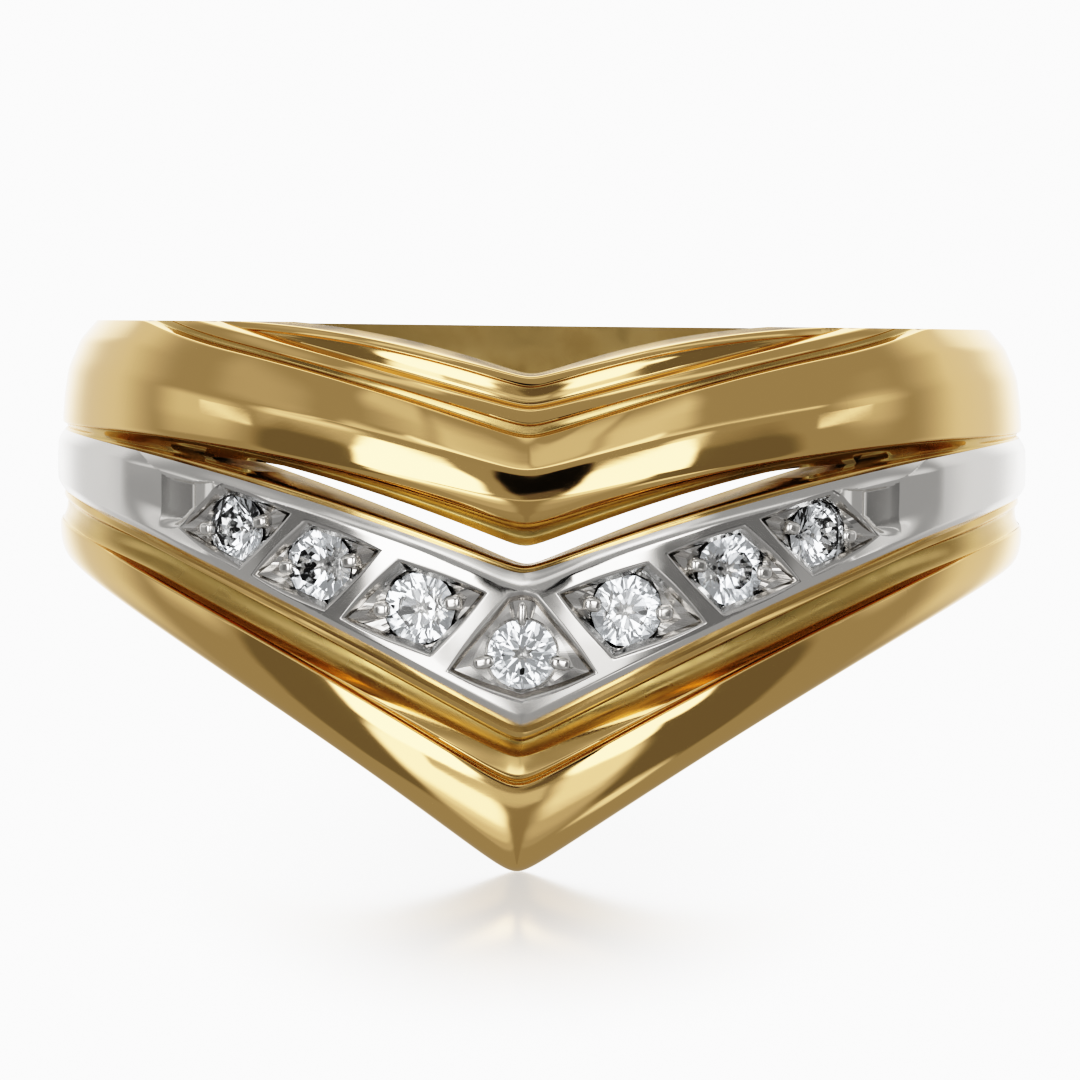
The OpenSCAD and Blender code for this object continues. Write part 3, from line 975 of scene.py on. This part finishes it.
def make_channel():
    shape = Shape()
    flat, triangles, top_line, low_line = face_mesh()
    radii = face_radius(*flat.T)
    start = shape.add(on_ring(*flat.T, radii))[0]
    for triangle in triangles:
        shape.face(triangle + start, FACE)
    top_r, low_r = face_radius(*top_line.T), face_radius(*low_line.T)
    sides = ((top_line, top_r), (top_line, UNDER_R), (low_line, UNDER_R), (low_line, low_r))
    rows = [shape.add(on_ring(*line.T, radius)) for line, radius in sides]
    for a, b in zip(rows, rows[1:]):
        for i in range(len(a) - 1):
            shape.face((a[i], a[i + 1], b[i + 1], b[i]), WALLS)
    for number, spot in enumerate(stone_spots()):
        add_pocket(shape, number, spot)
        for ds, dz, _, half_length, half_width in GRAINS[spot[0]]:
            add_grain(shape, spot, ds, dz, half_length, half_width)
    mesh = new_mesh("channel_white_gold", shape.points, shape.faces)
    set_values(mesh, "kind", shape.kinds, kind="INT")
    # Pocket walls and floors, and the bar's sides, get the painted recess shade
    set_values(mesh, "recess_shade", [float(kind in (WALLS, FLOOR)) for kind in shape.kinds])
    bm = bmesh.new()
    bm.from_mesh(mesh)
    bmesh.ops.remove_doubles(bm, verts=bm.verts, dist=2e-7)
    ends = [e for e in bm.edges if e.is_boundary]
    bmesh.ops.holes_fill(bm, edges=ends, sides=0)
    bmesh.ops.recalc_face_normals(bm, faces=bm.faces)
    kind = bm.faces.layers.int["kind"]
    for face in bm.faces:
        face.smooth = face[kind] != FLOOR
    mark_sharp(bm, CHANNEL_SHARP)
    bm.to_mesh(mesh)
    bm.free()
    set_face_normals(mesh)
    return linked_object(mesh)


def set_face_normals(mesh):
    """Gives the smooth face its true normals, so that its triangles don't show in reflections."""
    count = len(mesh.vertices)
    co = np.empty(count * 3)
    mesh.vertices.foreach_get("co", co)
    x, y, z = turned((co.reshape(-1, 3) - np.array(ring_centre)) / MM, back=True).T
    true = turned(face_normal(np.arctan2(x, -y) * FACE_MAP_R, z))
    kinds = mesh.attributes["kind"].data
    normals = np.zeros((len(mesh.loops), 3))
    for polygon in mesh.polygons:
        if kinds[polygon.index].value == FACE:
            for loop in polygon.loop_indices:
                normals[loop] = true[mesh.loops[loop].vertex_index]
    mesh.normals_split_custom_set([tuple(n) for n in normals])


# How each stone is turned in its seat, in degrees
STONE_TURNS = (11, 3, 17, 0, 7, 14, 20)
# A brilliant's proportions, as shares of its radius: table, its height over the girdle, the stars'
# tips, their height, half the girdle's height, the lower facets' tips and the pavilion's depth
TABLE = 0.56
TABLE_H = 0.30
STAR = 0.79
STAR_H = 0.165
HALF_GIRDLE = 0.02
LOWER_TIP = 0.24
PAVILION = 0.86


def make_stone(number, spot):
    """A round brilliant: table, stars, kites, upper and lower girdle facets and pavilion mains."""
    index, _, s0, z0 = spot
    r = stone_radius(index)
    turn = STONE_TURNS[number]
    shape = Shape()

    c, s = math.cos(s0 / FACE_MAP_R), math.sin(s0 / FACE_MAP_R)

    def ring(count, share, height, shift=0):
        """Points evenly round the stone's own axis, at a height from its girdle's middle."""
        way = np.radians(turn + shift + 360 * np.arange(count) / count)
        u, v, out = r * share * np.cos(way), r * share * np.sin(way), girdle_r + r * height
        return shape.add(np.stack([out * s + u * c, -out * c + u * s, z0 + v], -1))

    half_facet = 22.5
    table = ring(8, TABLE, HALF_GIRDLE + TABLE_H)
    star = ring(8, STAR, HALF_GIRDLE + STAR_H, half_facet)
    girdle = ring(16, 1.0, HALF_GIRDLE)
    under = ring(16, 1.0, -HALF_GIRDLE)
    tip_depth = PAVILION * (1 - LOWER_TIP * math.cos(math.radians(half_facet)))
    lower = ring(8, LOWER_TIP, -HALF_GIRDLE - tip_depth, half_facet)
    culet = ring(1, 0, -HALF_GIRDLE - PAVILION)[0]
    shape.face(table, FACE)
    for k in range(8):
        n = (k + 1) % 8
        shape.face((table[k], star[k], table[n]), FACE)
        shape.face((table[k], star[k - 1], girdle[2 * k], star[k]), FACE)
        shape.face((star[k], girdle[2 * k], girdle[2 * k + 1]), FACE)
        shape.face((star[k], girdle[2 * k + 1], girdle[2 * n]), FACE)
        shape.face((lower[k], under[2 * k], under[2 * k + 1]), MIRRORED)
        shape.face((lower[k], under[2 * k + 1], under[2 * n]), MIRRORED)
        shape.face((culet, lower[k - 1], under[2 * k], lower[k]), MIRRORED)
    shape.bridge(girdle, under, FACE)
    mesh = new_mesh(f"stone_{number + 1}_brilliant", shape.points, shape.faces)
    set_values(mesh, "mirrored", [float(kind == MIRRORED) for kind in shape.kinds])
    bm = bmesh.new()
    bm.from_mesh(mesh)
    bmesh.ops.recalc_face_normals(bm, faces=bm.faces)
    bm.to_mesh(mesh)
    bm.free()
    return linked_object(mesh)


# Roughness of a stone's back facets, for the fine sparkle that is smaller than they are
STONE_BACK_SPREAD = 0.03
# Lower than the real one, so that few rays are caught inside until the renderer drops them
STONE_IOR = 1.7
# The faint cloud in a stone: its noise's scale to the metre, the noise's level that it starts at, its
# colour, and the roughness it gives
CLOUD_SCALE = 1500
CLOUD_FROM = 0.4
CLOUD_COLOUR = (0.93, 0.95, 0.97, 1)
CLOUD_ROUGHNESS = 0.10


def stone_material():
    """Clear stone, faintly clouded, with an uneven polish, whose back facets return all light."""
    material = bpy.data.materials.new("brilliant")
    nodes = Nodes(material)
    shader = nodes.tree.nodes["Principled BSDF"].inputs
    shader["Transmission Weight"].default_value = 1
    shader["IOR"].default_value = STONE_IOR
    cloud = nodes.noise(nodes.place(), CLOUD_SCALE, 2)
    nodes.put(shader["Base Color"], nodes.mix("RGBA", cloud, (1, 1, 1, 1), CLOUD_COLOUR))
    polish = nodes.map_range(cloud, CLOUD_FROM, 1, 0, CLOUD_ROUGHNESS)
    back = nodes.attribute("mirrored")
    nodes.put(shader["Metallic"], back)
    nodes.put(shader["Roughness"], nodes.math("MULTIPLY_ADD", back, STONE_BACK_SPREAD, polish))
    return material


channel = make_channel()
channel.data.materials.append(white_gold)
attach(channel, "root")
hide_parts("channel")

brilliant = stone_material()
for number, spot in enumerate(stone_spots()):
    stone = make_stone(number, spot)
    stone.data.materials.append(brilliant)
    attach(stone, "root")
    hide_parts(f"stone_{number + 1}")


# Light, before the tone curve, that the floor and the backdrop show to the camera
FLOOR_SEEN = 3.52
# The floor's gloss where the ring's tip touches it, its roughness and, in mm, where it starts and
# ends to fade; half the floor's width, in metres
FLOOR_GLOSS = 0.70
GLOSS_ROUGHNESS = 0.20
GLOSS_REACH = (1, 8)
FLOOR_HALF = 1.5


def make_floor():
    """Plain pale floor, a little glossy where the ring's tip touches it."""
    mesh = bpy.data.meshes.new("floor")
    corners = ((-1, -1), (1, -1), (1, 1), (-1, 1))
    mesh.from_pydata([(x * FLOOR_HALF, y * FLOOR_HALF, 0) for x, y in corners], [], [(0, 1, 2, 3)])
    floor = linked_object(mesh)
    material = bpy.data.materials.new("pale_floor")
    nodes = Nodes(material)
    nodes.tree.nodes.clear()
    glow = nodes.add("ShaderNodeEmission", {"Strength": FLOOR_SEEN}).outputs[0]
    gloss = nodes.add("ShaderNodeBsdfGlossy", {"Roughness": GLOSS_ROUGHNESS}).outputs[0]
    clear = nodes.add("ShaderNodeBsdfTransparent").outputs[0]
    camera_ray = nodes.add("ShaderNodeLightPath").outputs["Is Camera Ray"]
    from_tip = nodes.vector("DISTANCE", nodes.place(), to_row([TIP])[0], "Value")
    start, end = (reach * MM for reach in GLOSS_REACH)
    shine = nodes.map_range(from_tip, start, end, FLOOR_GLOSS, 0, "SMOOTHSTEP")
    look = nodes.add("ShaderNodeMixShader", {0: shine, 1: glow, 2: gloss}).outputs[0]
    shown = nodes.add("ShaderNodeMixShader", {0: camera_ray, 1: clear, 2: look}).outputs[0]
    nodes.add("ShaderNodeOutputMaterial", {"Surface": shown})
    mesh.materials.append(material)


make_floor()

# The camera stands where the photograph's did: 200 mm from the ring's centre, 2 degrees above its
# own level and 2.05 degrees to its right, and turned by 0.6 degrees.
CAMERA_DISTANCE = 200
CAMERA_RISE = math.radians(2.0)
CAMERA_TURN = math.radians(2.05)
CAMERA_ROLL = math.radians(0.6)
# The frame's width, the focal length and the place of the ring's centre, in the photograph's pixels
FRAME_PX = 1080
FOCAL_PX = 9200
CENTRE_X = 541
CENTRE_Y = 540
SENSOR_MM = 36


def make_camera():
    data = bpy.data.cameras.new("camera")
    camera = bpy.context.scene.camera = linked_object(data)
    place = Vector((math.sin(CAMERA_TURN) * math.cos(CAMERA_RISE),
                    -math.cos(CAMERA_TURN) * math.cos(CAMERA_RISE),
                    math.sin(CAMERA_RISE)))
    forward = -place
    right = forward.cross(Vector((0, 0, 1))).normalized()
    up = right.cross(forward)
    c, s = math.cos(CAMERA_ROLL), math.sin(CAMERA_ROLL)
    right, up = c * right + s * up, c * up - s * right
    turn = Matrix((right, up, -forward)).transposed()
    lie = Matrix.Rotation(-lean, 3, "X")
    stand = Matrix.Translation(to_row([place * CAMERA_DISTANCE])[0])
    camera.matrix_world = stand @ (lie @ turn).to_4x4()
    data.sensor_width = SENSOR_MM
    data.lens = SENSOR_MM * FOCAL_PX / FRAME_PX
    data.shift_x = (FRAME_PX / 2 - CENTRE_X) / FRAME_PX
    data.shift_y = (CENTRE_Y - FRAME_PX / 2) / FRAME_PX
    data.clip_start = 0.01
    data.clip_end = 10


make_camera()


# Studio light round the ring, in degrees in the ring's own frame: from and to sideways from the
# camera's side, from and to upward, width of the soft edge, brightness and any slant. Later rows
# cover earlier ones, and all cover the level. Their round corners are a share of half their smaller
# size, up to the most.
STUDIO_LEVEL = 0.63
CORNER = 0.7
CORNER_MOST = 12
# Least light that comes back through a stone, for each surface that it passes
STONE_LIGHT = 0.28
STUDIO = (
    (-400, -112, -22, 66, 12, 1.40),
    (112, 400, -22, 66, 12, 1.50),
    (-400, -150, -14, 66, 14, 3.00),
    (150, 400, -14, 66, 14, 3.00),
    (-400, -171, 7, 30, 3, 0.80),
    (171, 400, 7, 30, 3, 0.80),
    (-400, 400, 80, 100, 3, 1.40),
    (-400, -150, 30, 72, 10, 3.52),
    (150, 400, 30, 72, 10, 3.52),
    (-42, -12, 60, 73, 5, 1.30),
    (-8, 34, 56, 68, 6, 1.45),
    (-22, 22, 50, 58, 2, 3.00),
    (-70, -15, 37, 43, 3, 1.80, 30),
    (18, 76, 38.5, 44.5, 3, 1.70, -22),
    (-50, 46, 27, 40, 3, 0.62),
    (-44, -14, 43, 51, 4, 1.50),
    (-68, -38, 18, 29, 6, 2.00, 12),
    (27, 38, 17, 28, 3, 2.20),
    (-100, -76, 4, 20, 7, 1.30),
    (80, 96, 10, 32, 8, 1.40),
    (-90, -58, 36, 50, 6, 0.86),
    (-87, -70, 11.6, 13.2, 1.0, 2.40),
    (70, 87, 12.2, 13.8, 1.0, 2.40),
    (-69, -39, -32, 16, 3, 0.34),
    (27, 65, -31, 16, 3, 0.33),
    (38, 54, -42, -30, 4, 2.00),
    (-9, 6, -100, -3, 3, 0.52),
    (-41, -9, -46, -2, 4, 0.90),
    (-40, -10, -33, -2, 3, 1.40),
    (-40, -10, -25, -2, 3, 2.00),
    (-40, -10, -19, -2, 3, 3.90),
    (6, 29, -42, -2, 4, 0.75),
    (7, 28, -30, -2, 4, 1.00),
    (8, 27, -17, -2, 3, 2.10),
    (-26, 5, -8, -4, 1, 1.20),
    (-41, -9, -4, 21, 1.5, 5.00),
    (7, 27.5, -4, 12, 1.5, 4.60),
    (7, 36, 5, 21, 1.5, 4.60),
    (-4, 8.5, 9, 26, 1, 0.02),
    (-2.5, 5, -1.5, 12, 1, 0.30),
)


def make_world():
    """Light boxes all round the ring, each with its own brightness."""
    world = bpy.data.worlds.new("studio")
    world.cycles.sampling_method = "NONE"
    bpy.context.scene.world = world
    nodes = Nodes(world)
    way = nodes.add("ShaderNodeTexCoord").outputs["Generated"]
    c, s = math.cos(lean), math.sin(lean)
    right, ahead, up = (nodes.vector("DOT_PRODUCT", way, axis, "Value")
                        for axis in ((1, 0, 0), (0, -c, s), (0, s, c)))
    turn = nodes.math("DEGREES", nodes.math("ARCTAN2", right, ahead))
    rise = nodes.math("DEGREES", nodes.math("ARCSINE", up))
    spot = nodes.add("ShaderNodeCombineXYZ", {0: turn, 1: rise}).outputs[0]
    light = STUDIO_LEVEL
    for left_at, right_at, low_at, high_at, soft, level, *slant in STUDIO:
        half_w, half_h = (right_at - left_at) / 2, (high_at - low_at) / 2
        corner_size = max(soft, min(CORNER * min(half_w, half_h), CORNER_MOST))
        offset = nodes.vector("SUBTRACT", spot, (left_at + half_w, low_at + half_h, 0))
        if slant:
            inputs = {"Vector": offset, "Angle": -math.radians(slant[0])}
            offset = nodes.add("ShaderNodeVectorRotate", inputs, rotation_type="Z_AXIS").outputs["Vector"]
        inner_corner = (half_w - corner_size, half_h - corner_size, 0)
        beyond = nodes.vector("SUBTRACT", nodes.vector("ABSOLUTE", offset), inner_corner)
        distance = nodes.vector("LENGTH", nodes.vector("MAXIMUM", beyond), result="Value")
        start, end = corner_size - soft, corner_size + soft
        light = nodes.map_range(distance, start, end, level, light, "SMOOTHSTEP")
    path = nodes.add("ShaderNodeLightPath").outputs
    through_stone = nodes.math("MULTIPLY", path["Transmission Depth"], STONE_LIGHT)
    brightest = nodes.math("MAXIMUM", light, through_stone)
    background = nodes.tree.nodes["Background"].inputs
    nodes.put(background["Strength"], nodes.map_range(path["Is Camera Ray"], 0, 1, brightest, FLOOR_SEEN))
    background["Color"].default_value = (1, 1, 1, 1)


# The tone curve: how deep its darks are, the light that it ends at, and its number of points
TOE = 0.25
WHITE_LEVEL = 6.0
TONE_STEPS = 10


def toned(light):
    """The photograph's tone: deep darks, and highlights that roll off to white."""
    return 1 - math.exp(-light * light / (light + TOE))


def make_tone():
    view = bpy.context.scene.view_settings
    view.view_transform = "Standard"
    view.use_curve_mapping = True
    curves = view.curve_mapping
    curves.white_level = (WHITE_LEVEL, WHITE_LEVEL, WHITE_LEVEL)
    curve = curves.curves[3]
    for i in range(1, TONE_STEPS):
        x = (i / TONE_STEPS) ** 2
        curve.points.new(x, toned(x * WHITE_LEVEL))
    curve.points[0].location = (0, 0)
    curve.points[-1].location = (1, toned(WHITE_LEVEL))
    curves.update()


make_world()
make_tone()
